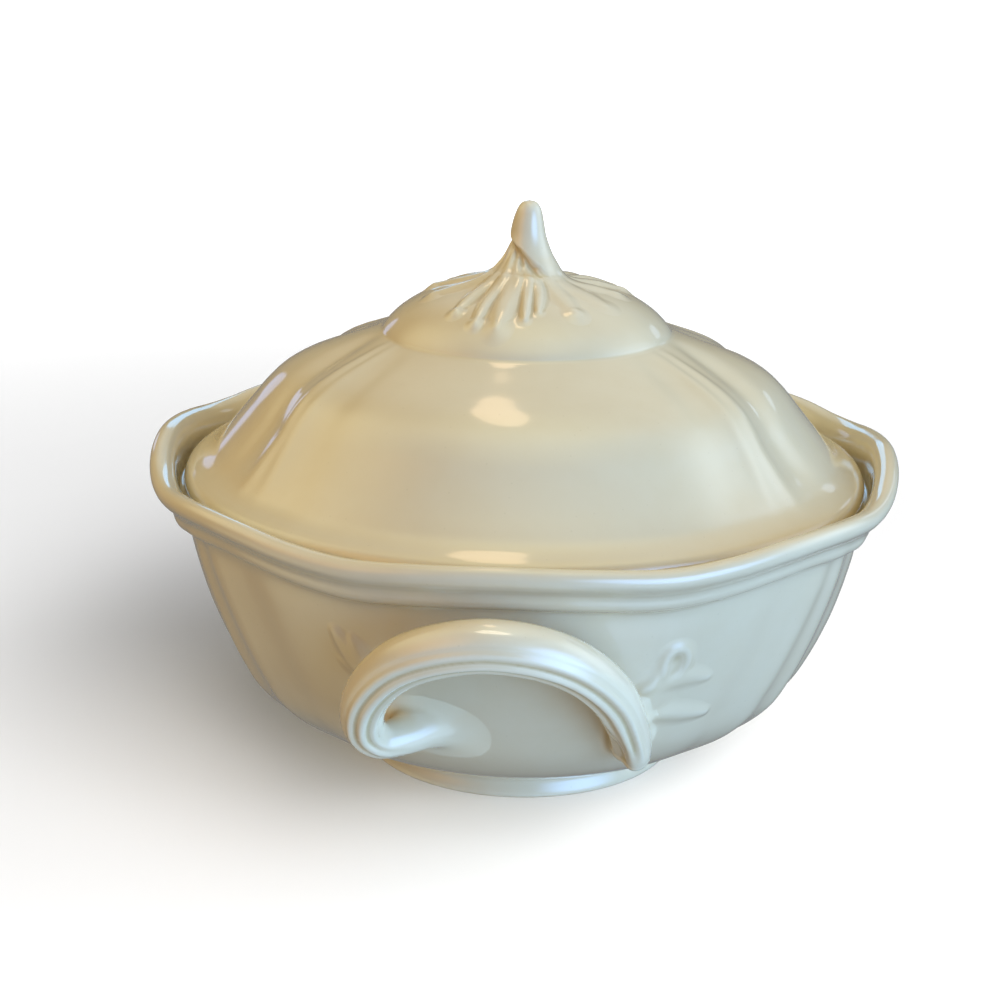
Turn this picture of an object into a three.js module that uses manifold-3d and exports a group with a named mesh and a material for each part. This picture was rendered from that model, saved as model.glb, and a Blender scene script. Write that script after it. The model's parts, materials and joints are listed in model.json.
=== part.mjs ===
// Covered vegetable dish, millimetres, +Z up, origin at the centre of the foot on the table.
// Handles lie along Y, the front one at -Y. Azimuth is measured from -Y towards +X.
import * as THREE from 'three';
import { mergeVertices } from 'three/addons/utils/BufferGeometryUtils.js';
import Module from 'manifold-3d';

const wasm = await Module();
wasm.setup();

// ---------------------------------------------------------------- driving dimensions
const GAP = 0.3; // clearance between neighbouring pieces
const LEDGE_Z = 89.9; // ledge inside the rim that carries the lid
const RIM_NOMINAL_Z = 98.2; // lip height that the bowl profile is drawn at
const FOOT_HEIGHT = 6.2;
const HANDLE_RADIUS = 6.6;
const HANDLE_FLUTES = 5;
const HANDLE_FLUTE_DEPTH = 0.45;
const SPRAY_HEIGHT = 2.4; // how far leaves stand out of the bowl
const KNOB_TOP_Z = 179;
const GLAZE = { color: 0xe9dfc6, roughness: 0.18, metalness: 0 };

// lip height around one quarter: azimuth from the handle, height
const LIP_AZ = [0, 11, 22, 31, 40, 48, 55, 62, 69, 77, 84, 90];
const LIP_Z = [99.4, 98.7, 97.5, 98.5, 100.2, 100.8, 100.3, 99.4, 100, 102, 103.4, 104];
// how far the lip stands out of its drawn circle around one quarter
const LIP_OUT = [0, 0, 0.1, 0.2, 0.3, 0.4, 0.4, 0, -0.7, -1.6, -2.1, -2.3];

// azimuth samples of one quarter, close together at the folds
const QUARTER = [0, 10, 20, 29, 37, 43, 47.5, 51.5, 55.5, 60, 65, 71, 80];

// bowl: radius, height, share of the lip wave, share of the folds; from the inner floor over the lip to the underside
const BOWL = [
  [0, 12.4, 0, 0], [42, 13.2, 0, 0], [56, 16.6, 0, 0.1], [67, 22.4, 0, 0.3], [77, 30, 0, 0.5], [84.6, 38.2, 0, 0.6],
  [90.8, 48.8, 0, 0.6], [95.3, 60.5, 0, 0.55], [99, 72.5, 0, 0.3], [102.2, 85, 0, 0], [102.9, 88.4, 0, 0],
  [104.2, LEDGE_Z, 0, 0], [109, LEDGE_Z, 0, 0], [110.3, 90.8, 0, 0], [111.3, 93, 0.4, 0], [113.4, 96.1, 0.9, 0],
  [117.2, 98.2, 1, 0], [119.6, 97.2, 1, 0], [120.4, 95.4, 1, 0], [119.4, 93, 1, 0.1], [116.4, 90.2, 1, 0.3],
  [114.6, 87.4, 1, 0.4], [113, 85, 1, 0.4], [110.2, 83.8, 1, 0.6], [108.6, 81.2, 0.85, 0.8], [107.2, 74.4, 0.5, 1],
  [104.1, 64, 0.2, 1], [100, 52.3, 0, 1], [95.6, 41.8, 0, 1], [90.4, 32.3, 0, 0.9], [83.4, 24.7, 0, 0.7],
  [74.4, 18.3, 0, 0.4], [63, 12.3, 0, 0.1], [54.5, 8.5, 0, 0], [49.6, 6.5, 0, 0], [0, 6.5, 0, 0],
];
const BOWL_OUTSIDE_FROM = 17; // index of the first outside point

const FOOT = [
  [45, 0], [50.6, 0], [51.6, 0.8], [51.4, 2.4], [50.3, 4.6], [49.8, FOOT_HEIGHT], [45.6, FOOT_HEIGHT], [44.4, 3.4], [44.3, 0.7],
];

// lid: radius, height, share of the folds; from the top of the crown over the edge to the hollow inside
const LID = [
  [0, 153.8, 0], [14, 153.3, 0], [24, 151.2, 0], [33, 147.7, 0], [40, 143.6, 0], [44.6, 140, 0], [45.6, 138.5, 0],
  [46.9, 137.6, 0.1], [55, 134.3, 0.65], [64, 130.7, 1], [71, 127.6, 1], [77, 124, 1], [82, 119.3, 1], [87, 113.3, 1],
  [92.4, 107.1, 1], [98, 101.3, 0.7], [103, 96.4, 0.15], [105.6, 94.9, 0], [107.4, 94.2, 0], [108.4, 92.9, 0], [108.3, 91.2, 0],
  [107.3, LEDGE_Z + GAP, 0], [96.8, LEDGE_Z + GAP, 0], [95.6, 92.6, 0], [89, 101.8, 0.5], [82, 109.8, 0.7], [76.4, 116.7, 0.7],
  [69, 122.2, 0.7], [58, 127.4, 0.5], [46.5, 132.2, 0.1], [40, 136.6, 0], [32, 142.1, 0], [20, 147.2, 0], [0, 149.4, 0],
];
const LID_CROWN_TO = 18; // outside points, crown to edge

const LOCATING_RING = [
  [97.7, LEDGE_Z], [100.9, LEDGE_Z], [100.8, 86.6], [100.4, 84.4], [99.5, 83.5], [98.6, 83.7], [97.9, 85],
];

const STEM = [
  [0, 154.25], [12, 154.25], [11.4, 154.9], [10.2, 156.2], [9.2, 157.9], [8, 160.1], [6.8, 163], [5.8, 166], [5, 169], [4.45, 172],
  [3.9, 174.6], [3.1, 176.9], [1.9, 178.4], [0, KNOB_TOP_Z],
];

// centre line of the front handle: it curls out of the bowl at the left, arches over and runs down into the bowl at the right
const HANDLE = [
  [-9, -82, 44], [-19.5, -91, 42.6], [-30.4, -97, 40], [-36.4, -100.4, 40.6], [-40.4, -103, 45.4], [-40.4, -106, 52], [-37.2, -111, 61],
  [-28.8, -118, 71.6], [-17.4, -123, 78], [-4, -126, 80.9], [9.4, -124.5, 78.5], [20, -120, 72.5], [28.7, -112.5, 62.1],
  [33.5, -102, 48], [35.4, -93.6, 37.4], [35.6, -86.4, 30.8],
];
// pad of clay that fixes the handle's right end to the bowl: centre, half sizes
const HANDLE_PAD = [33.6, -86.4, 38.5];
const HANDLE_PAD_SIZE = [5.8, 7.6, 8.6];

// leaves on the bowl: azimuth, height, tilt from level, length, width
const SPRAY_LEAVES = [
  [25.4, 50, 80, 34, 5], [25.9, 65, 80, 16, 10], [30, 57, 8, 20, 6.5], [31.4, 43.8, 3, 21, 5.5], [30, 34.8, -20, 10, 6],
];
const BUD_LEAVES = [
  [-27.2, 64.5, 112, 15, 7], [-25, 60, 75, 13, 7],
];
// root-like leaves on the crown: azimuth, inner radius, outer radius, width
const ROOTS = [
  [-37, 11, 34.5, 6.5], [-16, 11, 38.5, 8], [5, 11, 38, 7.5], [28, 11, 34, 7], [66, 11, 30, 6.5], [108, 11, 32, 7], [152, 11, 36, 7],
  [-164, 11, 36, 7], [-122, 11, 33, 7], [-78, 11, 31, 6.5],
];

// ---------------------------------------------------------------- curves
const rad = THREE.MathUtils.degToRad;
function curve(xs, ys) {
  const n = xs.length;
  const m = ys.map((_, i) => (i === 0 || i === n - 1 ? 0 : (ys[i + 1] - ys[i - 1]) / (xs[i + 1] - xs[i - 1])));
  return (x) => {
    let i = 0;
    while (i < n - 2 && x > xs[i + 1]) i++;
    const h = xs[i + 1] - xs[i];
    const t = (x - xs[i]) / h;
    const t2 = t * t;
    const t3 = t2 * t;
    return (2 * t3 - 3 * t2 + 1) * ys[i] + (t3 - 2 * t2 + t) * h * m[i] + (3 * t2 - 2 * t3) * ys[i + 1] + (t3 - t2) * h * m[i + 1];
  };
}
const quarterAngle = (a) => {
  const m = ((a % 180) + 180) % 180;
  return m > 90 ? 180 - m : m;
};
const bump = (x, c, w) => Math.exp(-(((x - c) / w) ** 2));
const clamp01 = (x) => Math.min(1, Math.max(0, x));
const lipHeight = curve(LIP_AZ, LIP_Z);
const lipOut = curve(LIP_AZ, LIP_OUT);

// folds stand 0 to 1 mm above the panels beside them; they lean towards the handles as they run down
function bowlFold(a, z) {
  const q = quarterAngle(a);
  const s = clamp01((80 - z) / 40);
  return 0.8 * bump(q, 55 - 5 * s, 2.6) + 0.9 * bump(q, 62 - 2 * s, 2.6) - 0.9 * bump(q, 46.5 - 5 * s, 4.5) - 1.5 * bump(q, 70 - 2 * s, 4.5)
    + 0.9 * bump(q, 90, 14);
}
function lidFold(a, r) {
  const q = quarterAngle(a);
  const s = clamp01((r - 50) / 47);
  return 0.75 * bump(q, 56 - 6.5 * s, 2.3) + 0.85 * bump(q, 61.5 - 6.5 * clamp01(1.3 * s), 2.4) - 0.7 * bump(q, 48 - 6 * s, 4.5)
    - 1.7 * bump(q, 76 - 13 * clamp01(1.35 * s), 5) + bump(q, 90, 13);
}

// ---------------------------------------------------------------- solids
function closed(geometry) {
  const g = new THREE.BufferGeometry();
  g.setAttribute('position', geometry.getAttribute('position'));
  if (geometry.index) g.setIndex(geometry.index);
  const merged = mergeVertices(g, 1e-4);
  const ix = merged.index.array;
  const tri = [];
  for (let i = 0; i < ix.length; i += 3) {
    if (ix[i] !== ix[i + 1] && ix[i + 1] !== ix[i + 2] && ix[i] !== ix[i + 2]) tri.push(ix[i], ix[i + 1], ix[i + 2]);
  }
  const p = merged.getAttribute('position');
  const v = (i) => new THREE.Vector3().fromBufferAttribute(p, i);
  let volume = 0;
  for (let i = 0; i < tri.length; i += 3) volume += v(tri[i]).dot(v(tri[i + 1]).cross(v(tri[i + 2])));
  if (volume < 0) for (let i = 0; i < tri.length; i += 3) [tri[i + 1], tri[i + 2]] = [tri[i + 2], tri[i + 1]];
  return new wasm.Manifold(new wasm.Mesh({ numProp: 3, vertProperties: new Float32Array(p.array), triVerts: new Uint32Array(tri) }));
}
function geometryOf(solid) {
  const m = solid.getMesh();
  const out = new Float32Array(m.numVert * 3);
  for (let i = 0; i < m.numVert; i++) out.set(m.vertProperties.subarray(i * m.numProp, i * m.numProp + 3), i * 3);
  const g = new THREE.BufferGeometry();
  g.setAttribute('position', new THREE.BufferAttribute(out, 3));
  g.setIndex(new THREE.BufferAttribute(new Uint32Array(m.triVerts), 1));
  g.computeVertexNormals();
  return g;
}
const joined = (list) => list.reduce((a, b) => a.add(b));

// a turned profile whose radius and height then follow the azimuth
function turned(profile, angles, place) {
  const lathe = new THREE.LatheGeometry(profile.map((p) => new THREE.Vector2(p[0], p[1])), angles.length - 1);
  lathe.rotateX(Math.PI / 2);
  const pos = lathe.getAttribute('position');
  const n = profile.length;
  for (let i = 0; i < angles.length; i++) {
    for (let j = 0; j < n; j++) {
      const [r, z] = place(profile[j], angles[i]);
      const a = rad(i === angles.length - 1 ? angles[0] : angles[i]);
      const rr = profile[j][0] === 0 ? 0 : r;
      pos.setXYZ(i * n + j, rr * Math.sin(a), -rr * Math.cos(a), z);
    }
  }
  return closed(lathe);
}
const quarterBack = QUARTER.slice(1).reverse().map((a) => 180 - a);
const half = [...QUARTER, 90, ...quarterBack];
const ROUND = [...half, ...half.map((a) => a + 180), 360];
const EVEN = Array.from({ length: 49 }, (_, i) => i * 7.5);
const plain = (p) => [p[0], p[1]];

const bowlPlace = (grow) => (p, a) => {
  const wave = (lipHeight(quarterAngle(a)) - RIM_NOMINAL_Z) * p[2];
  return [p[0] + lipOut(quarterAngle(a)) * p[2] + bowlFold(a, p[1]) * p[3] + grow, p[1] + wave];
};
const lidPlace = (grow) => (p, a) => [p[0] + 0.72 * lidFold(a, p[0]) * p[2], p[1] + 0.69 * lidFold(a, p[0]) * p[2] + grow];

const bowl = turned(BOWL, ROUND, bowlPlace(0));
// the bowl as a full block, one clearance larger, for cutting what is set against it
const outside = BOWL.slice(BOWL_OUTSIDE_FROM);
const bowlBlock = turned([[0, 108, 1, 0], [100, 108, 1, 0], ...outside.slice(0, -1), [0, 6.5, 0, 0]], ROUND, bowlPlace(GAP));
const foot = turned([...FOOT, FOOT[0]], EVEN, plain);
const lid = turned(LID, ROUND, lidPlace(0));
const lidBlock = turned([...LID.slice(0, LID_CROWN_TO), [0, 92, 0]], ROUND, lidPlace(GAP));
const ring = turned([...LOCATING_RING, LOCATING_RING[0]], EVEN, plain);

// handle: a fluted bar swept round the arch, cut where it meets the bowl
const handlePath = new THREE.CatmullRomCurve3(HANDLE.map((p) => new THREE.Vector3(...p)));
const section = new THREE.Shape(
  Array.from({ length: 15 }, (_, i) => {
    const t = (i / 15) * Math.PI * 2;
    const r = HANDLE_RADIUS + HANDLE_FLUTE_DEPTH * Math.cos(HANDLE_FLUTES * t);
    return new THREE.Vector2(r * Math.cos(t), r * Math.sin(t));
  }),
);
function handlePad(grow) {
  const g = new THREE.SphereGeometry(1, 12, 8);
  g.scale(...HANDLE_PAD_SIZE.map((v) => v + grow));
  g.translate(...HANDLE_PAD);
  return closed(g);
}
const handle = closed(new THREE.ExtrudeGeometry(section, { steps: 26, bevelEnabled: false, extrudePath: handlePath })).add(handlePad(0)).subtract(bowlBlock);

// leaf on the bowl: a flattened ball laid on the wall
const wallZ = outside.map((p) => p[1]).reverse();
const wallR = outside.map((p) => p[0]).reverse();
function wallRadius(z) {
  let i = 1;
  while (i < wallZ.length - 1 && z > wallZ[i]) i++;
  return wallR[i - 1] + ((wallR[i] - wallR[i - 1]) * (z - wallZ[i - 1])) / (wallZ[i] - wallZ[i - 1]);
}
function wallLeaf([az, z, tilt, length, width]) {
  const a = rad(az);
  const slope = (wallRadius(z + 2) - wallRadius(z - 2)) / 4;
  const up = new THREE.Vector3(slope * Math.sin(a), -slope * Math.cos(a), 1).normalize();
  const side = new THREE.Vector3(Math.cos(a), Math.sin(a), 0);
  const out = new THREE.Vector3().crossVectors(side, up);
  const along = side.clone().multiplyScalar(Math.cos(rad(tilt))).addScaledVector(up, Math.sin(rad(tilt)));
  const across = new THREE.Vector3().crossVectors(out, along);
  const g = new THREE.SphereGeometry(1, 10, 6);
  g.scale(length / 2, width / 2, SPRAY_HEIGHT);
  const r = wallRadius(z) + 0.3;
  g.applyMatrix4(new THREE.Matrix4().makeBasis(along, across, out).setPosition(r * Math.sin(a), -r * Math.cos(a), z));
  return closed(g);
}
const handleRoom = closed(new THREE.ExtrudeGeometry(
  new THREE.Shape(Array.from({ length: 10 }, (_, i) => {
    const t = (i / 10) * Math.PI * 2;
    return new THREE.Vector2((HANDLE_RADIUS + 1) * Math.cos(t), (HANDLE_RADIUS + 1) * Math.sin(t));
  })),
  { steps: 22, bevelEnabled: false, extrudePath: handlePath },
)).add(handlePad(0.6));
const largest = (solid) => solid.decompose().sort((a, b) => b.volume() - a.volume())[0];
const spray = largest(joined(SPRAY_LEAVES.map(wallLeaf)).subtract(bowlBlock).subtract(handleRoom));
const bud = largest(joined(BUD_LEAVES.map(wallLeaf)).subtract(bowlBlock).subtract(handleRoom));

// knob: a turned stem, with leaves that spread over the crown like roots
const stem = turned(STEM, EVEN.filter((_, i) => i % 2 === 0), plain);
const stemRoom = turned(
  [[0, 151], [12.4, 151], [12.4, 154.6], ...STEM.slice(2).map(([r, z]) => [r === 0 ? 0 : r + GAP, z + GAP])], EVEN.filter((_, i) => i % 2 === 0), plain,
);
const crownZ = (r) => {
  let i = 1;
  while (i < LID_CROWN_TO && r > LID[i][0]) i++;
  return LID[i - 1][1] + ((LID[i][1] - LID[i - 1][1]) * (r - LID[i - 1][0])) / (LID[i][0] - LID[i - 1][0]);
};
function root([az, r0, r1, width]) {
  const a = rad(az);
  const mid = (r0 + r1) / 2;
  const drop = Math.atan2(crownZ(r0) - crownZ(r1), r1 - r0);
  const g = new THREE.SphereGeometry(1, 8, 6);
  g.scale((r1 - r0) / 2 / Math.cos(drop), width / 2, 2.6);
  g.rotateY(drop);
  g.translate(mid, 0, (crownZ(r0) + crownZ(r1)) / 2 + 0.7);
  g.rotateZ(a - Math.PI / 2);
  return closed(g);
}
const collar = turned(
  [[10.5, 152.5], [17.5, 151.8], [17, 154.2], [13.8, 155.4], [10.5, 156.6], [10.5, 152.5]], EVEN.filter((_, i) => i % 2 === 0), plain,
);
const leaves = largest(joined([collar, ...ROOTS.map(root)]).subtract(lidBlock).subtract(stemRoom));

// ---------------------------------------------------------------- assembly
const dish = new THREE.Group();
function piece(name, solid, half_turn = false) {
  const mesh = new THREE.Mesh(geometryOf(solid), new THREE.MeshStandardMaterial({ ...GLAZE }));
  mesh.name = name;
  if (half_turn) mesh.rotation.z = Math.PI;
  dish.add(mesh);
}
piece('bowl_body', bowl);
piece('foot_ring', foot);
piece('front_handle', handle);
piece('rear_handle', handle, true);
piece('front_leaf_spray', spray);
piece('rear_leaf_spray', spray, true);
piece('front_leaf_bud', bud);
piece('rear_leaf_bud', bud, true);
piece('lid_shell', lid);
piece('lid_locating_ring', ring);
piece('knob_stem', stem);
piece('knob_leaves', leaves);

export default dish;
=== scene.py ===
import json
import math

import bpy
import numpy as np
from mathutils import Matrix, Vector

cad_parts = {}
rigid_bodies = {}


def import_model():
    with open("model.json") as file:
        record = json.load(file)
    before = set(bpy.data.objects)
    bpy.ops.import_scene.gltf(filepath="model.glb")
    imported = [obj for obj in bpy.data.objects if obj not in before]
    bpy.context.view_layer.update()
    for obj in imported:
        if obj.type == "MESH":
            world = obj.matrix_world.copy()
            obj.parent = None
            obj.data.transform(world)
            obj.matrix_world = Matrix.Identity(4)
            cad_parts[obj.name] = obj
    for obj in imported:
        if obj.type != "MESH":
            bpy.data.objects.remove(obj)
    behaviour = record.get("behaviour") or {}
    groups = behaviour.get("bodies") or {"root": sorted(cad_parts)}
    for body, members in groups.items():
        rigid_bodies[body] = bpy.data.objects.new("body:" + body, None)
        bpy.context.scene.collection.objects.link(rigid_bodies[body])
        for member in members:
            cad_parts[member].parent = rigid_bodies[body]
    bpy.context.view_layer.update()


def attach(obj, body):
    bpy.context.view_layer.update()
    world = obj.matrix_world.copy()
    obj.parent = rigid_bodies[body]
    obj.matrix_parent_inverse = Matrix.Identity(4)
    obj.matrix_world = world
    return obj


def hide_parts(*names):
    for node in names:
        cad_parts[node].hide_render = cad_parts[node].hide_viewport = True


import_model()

MM = 0.001

# ------------------------------------------------------------------ shape tables, millimetres
# lip around one quarter: azimuth from the handle, height, radius change
LIP_AZ = [0, 11, 22, 31, 40, 48, 55, 62, 69, 77, 84, 90]
LIP_Z = [99.4, 98.7, 97.5, 98.5, 100.2, 100.8, 100.3, 99.4, 100, 102, 103.4, 104]
LIP_OUT = [0, 0, .1, .2, .3, .4, .4, 0, -.7, -1.6, -2.1, -2.3]
RIM_NOMINAL_Z = 98.2

# bowl outline from the middle of the inside over the lip to the middle of the underside: radius, height, share of the lip wave, share of the folds, step along the curve
BOWL = [
    (0, 12.4, 0, 0, 3.5), (20, 12.6, 0, 0, 3.5), (42, 13.2, 0, 0, 3), (56, 16.6, 0, .1, 2.4), (67, 22.4, 0, .3, 2.4), (77, 30, 0, .5, 2.4),
    (84.6, 38.2, 0, .6, 2.6), (90.8, 48.8, 0, .6, 2.6), (95.3, 60.5, 0, .55, 2.6), (99, 72.5, 0, .3, 2.4), (102, 85, 0, 0, 1.2),
    (102.7, 88.1, 0, 0, .5), (103.3, 89.4, 0, 0, .4), (104.4, 89.9, 0, 0, .8), (108.6, 89.9, 0, 0, .5), (109.8, 90.3, 0, 0, .5),
    (110.6, 91.6, .15, 0, .7), (111.5, 93.6, .5, 0, .7), (112.9, 95.6, .85, 0, .6), (114.8, 97.3, 1, 0, .55), (116.9, 98.2, 1, 0, .5),
    (118.7, 98, 1, 0, .45), (119.9, 96.9, 1, 0, .45), (120.3, 95.4, 1, 0, .45), (119.9, 93.9, 1, 0, .45), (118.7, 92.4, 1, .05, .5),
    (117.2, 91.1, 1, .15, .5), (116, 89.9, 1, .3, .5), (115.35, 88.6, 1, .35, .45), (115, 87.2, 1, .4, .45), (114.3, 85.8, 1, .4, .4),
    (113, 84.8, 1, .45, .4), (111.4, 84.1, 1, .55, .45), (110, 83, .95, .65, .5), (109.1, 81.2, .85, .8, .8), (107.4, 74.4, .5, 1, 1.3),
    (104.3, 64, .2, 1, 1.5), (100.2, 52.3, 0, 1, 1.5), (95.8, 41.8, 0, 1, 1.5), (90.6, 32.3, 0, .9, 1.5), (83.5, 24.7, 0, .7, 1.6),
    (74.6, 18.3, 0, .4, 1.6), (63.2, 12.2, 0, .1, 1.6), (54.5, 8.4, 0, 0, 1.2), (50.6, 6.9, 0, 0, .8), (49, 6.25, 0, 0, 1), (44.6, 6.3, 0, 0, 2), (30, 6.6, 0, 0, 4), (0, 6.8, 0, 0, 4),
]
FOOT = [
    (45, 0, .8), (50.4, 0, .35), (51.3, .5, .3), (51.55, 1.5, .4), (51.2, 3, .6), (50.6, 4.6, .5), (50.6, 5.8, .4), (51.3, 6.9, .5),
    (52, 7.9, 1), (46.5, 7.9, 1), (45.5, 7, .6), (44.6, 5.4, .6), (44.2, 3, .5), (44.2, .9, .3), (44.5, .25, .3), (45, 0, .3),
]
# lid outline from the middle of the crown over the edge to the middle of the hollow: radius, height, share of the folds, step
LID = [
    (0, 153.8, 0, 2), (14, 153.3, 0, 1.4), (24, 151.6, 0, 1.4), (33, 148.6, 0, 1.4), (40, 144.4, 0, 1), (43.6, 141.1, 0, .6), (45, 139.4, 0, .35),
    (45.6, 138.5, 0, .3), (46.3, 137.95, .05, .3), (47.6, 137.35, .15, .6), (50.6, 136.1, .4, 1), (55, 134.3, .65, 1.2), (64, 130.7, 1, 1.3), (71, 127.6, 1, 1.3),
    (77, 124, 1, 1.3), (82, 119.3, 1, 1.3), (87, 113.3, 1, 1.3), (92.4, 107.1, .85, 1.3), (96.4, 102.9, .5, 1), (99.1, 100.2, .25, .7), (101.3, 98.75, .08, .6), (103.4, 97.75, 0, .5), (105.3, 96.95, 0, .45),
    (106.9, 96.05, 0, .4), (107.9, 94.6, 0, .35), (108.35, 92.7, 0, .35), (108.1, 91.1, 0, .35), (107.2, 90.3, 0, .4), (105, 90.2, 0, 1), (99, 90.2, 0, 1), (96.8, 90.4, 0, .6), (95.7, 92.4, 0, 1),
    (89, 101.8, .5, 2), (82, 109.8, .7, 2), (76.4, 116.7, .7, 2), (69, 122.2, .7, 2), (58, 127.4, .5, 2), (46.5, 132.2, .1, 1.6), (40, 136.6, 0, 1.6), (32, 142.1, 0, 2),
    (20, 147.2, 0, 2.5), (0, 149.4, 0, 3),
]
RING = [
    (97.6, 90.9, .6), (101, 90.9, .6), (100.9, 88, .6), (100.7, 86, .5), (100.2, 84.4, .4), (99.5, 83.7, .3), (98.7, 83.8, .3), (98.1, 84.8, .5), (97.7, 87, .6), (97.6, 90.9, .6),
]
STEM = [(14.8, 153.55), (12.8, 154.4), (11.1, 155.7), (9.8, 157.3), (8.6, 159.4), (7.5, 161.6), (6.6, 164), (5.9, 166.4), (5.3, 169), (4.85, 172), (4.3, 174.6), (3.4, 176.9), (2, 178.4), (0, 178.9)]

# centre line of the front handle and its half thickness
HANDLE = [
    (-5, -80, 43.6, 7), (-14, -87, 43.4, 7), (-22.5, -92.5, 42, 6.4), (-30.4, -97, 40.4, 5.9), (-36.2, -100.2, 40.9, 5.7), (-40, -103, 45.4, 5.9), (-40.2, -106, 52, 6.4), (-37, -111, 61, 6.8),
    (-28.8, -118, 71.4, 7.1), (-17.4, -123, 77.7, 7.2), (-4, -125.6, 80.4, 7.2), (9.4, -124.2, 78.2, 7.1), (20, -119.8, 72.3, 6.9), (28.6, -112.4, 62, 6.6), (33.3, -102, 48.2, 6.2), (35, -95, 39.4, 5.8),
    (35.4, -91.4, 35.6, 5.6),
]


# ------------------------------------------------------------------ curves
def curve(xs, ys):
    xs, ys = np.array(xs, float), np.array(ys, float)
    m = np.zeros(len(xs))
    m[1:-1] = (ys[2:] - ys[:-2]) / (xs[2:] - xs[:-2])

    def at(x):
        x = np.clip(np.asarray(x, float), xs[0], xs[-1])
        i = np.clip(np.searchsorted(xs, x, side="right") - 1, 0, len(xs) - 2)
        h = xs[i + 1] - xs[i]
        t = (x - xs[i]) / h
        t2, t3 = t * t, t * t * t
        return (2 * t3 - 3 * t2 + 1) * ys[i] + (t3 - 2 * t2 + t) * h * m[i] + (3 * t2 - 2 * t3) * ys[i + 1] + (t3 - t2) * h * m[i + 1]

    return at


def quarter(a):
    m = np.mod(a, 180.0)
    return np.where(m > 90, 180 - m, m)


def bump(x, c, w):
    return np.exp(-(((x - c) / w) ** 2))


def ramp(x, a, b):
    t = np.clip((np.asarray(x, float) - a) / (b - a), 0, 1)
    return t * t * (3 - 2 * t)


def spline(points, steps):
    """Centripetal curve through the points, with about that step between samples on each stretch."""
    P = np.array(points, float)
    P = np.vstack([2 * P[0] - P[1], P, 2 * P[-1] - P[-2]])
    out = []
    for i in range(1, len(P) - 2):
        p0, p1, p2, p3 = P[i - 1:i + 3]
        k = [0.0]
        for a, b in ((p0, p1), (p1, p2), (p2, p3)):
            k.append(k[-1] + max(np.linalg.norm((b - a)[:3]), 1e-6) ** .5)
        n = max(2, int(math.ceil(np.linalg.norm((p2 - p1)[:2]) / steps[i - 1])))
        t = (k[1] + (k[2] - k[1]) * np.arange(n) / n)[:, None]
        a1 = (k[1] - t) / (k[1] - k[0]) * p0 + (t - k[0]) / (k[1] - k[0]) * p1
        a2 = (k[2] - t) / (k[2] - k[1]) * p1 + (t - k[1]) / (k[2] - k[1]) * p2
        a3 = (k[3] - t) / (k[3] - k[2]) * p2 + (t - k[2]) / (k[3] - k[2]) * p3
        b1 = (k[2] - t) / (k[2] - k[0]) * a1 + (t - k[0]) / (k[2] - k[0]) * a2
        b2 = (k[3] - t) / (k[3] - k[1]) * a2 + (t - k[1]) / (k[3] - k[1]) * a3
        out.append((k[2] - t) / (k[2] - k[1]) * b1 + (t - k[1]) / (k[2] - k[1]) * b2)
    out.append(P[-2:-1])
    return np.vstack(out)


lip_height = curve(LIP_AZ, LIP_Z)
lip_out = curve(LIP_AZ, LIP_OUT)


def bowl_fold(q, z):
    s = np.clip((80 - z) / 40, 0, 1)
    return (.8 * bump(q, 55 - 5 * s, 2.6) + .9 * bump(q, 62 - 2 * s, 2.6) - .9 * bump(q, 46.5 - 5 * s, 4.5) - 1.2 * bump(q, 70 - 2 * s, 4.5)
            + .9 * bump(q, 90, 14))


def lid_fold(q, r):
    s = np.clip((r - 50) / 47, 0, 1)
    return (.75 * bump(q, 56 - 6.5 * s, 2.3) + .85 * bump(q, 61.5 - 6.5 * np.clip(1.3 * s, 0, 1), 2.4) - .7 * bump(q, 48 - 6 * s, 4.5)
            - 1.35 * bump(q, 76 - 13 * np.clip(1.35 * s, 0, 1), 5) + bump(q, 90, 13))


def place(az, r, z):
    a = np.radians(az)
    return np.stack([r * np.sin(a), -r * np.cos(a), z + 0 * r], -1)


# ------------------------------------------------------------------ meshes
def add_object(name, verts, faces, body, node, material):
    mesh = bpy.data.meshes.new(name)
    verts = np.asarray(verts, np.float64) * MM
    sizes = np.array([len(f) for f in faces]) if not isinstance(faces, np.ndarray) else np.full(len(faces), faces.shape[1])
    flat = faces.reshape(-1) if isinstance(faces, np.ndarray) else np.concatenate([np.asarray(f) for f in faces])
    mesh.vertices.add(len(verts))
    mesh.vertices.foreach_set("co", verts.reshape(-1).astype(np.float32))
    mesh.loops.add(int(sizes.sum()))
    mesh.loops.foreach_set("vertex_index", flat.astype(np.int32))
    mesh.polygons.add(len(sizes))
    start = np.concatenate([[0], np.cumsum(sizes)[:-1]]).astype(np.int32)
    mesh.polygons.foreach_set("loop_start", start)
    mesh.update(calc_edges=True)
    mesh.validate()
    mesh.shade_smooth()
    ob = bpy.data.objects.new(name, mesh)
    bpy.context.scene.collection.objects.link(ob)
    relief(mesh)
    mesh.materials.append(material)
    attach(ob, body)
    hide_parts(node)
    return ob


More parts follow.
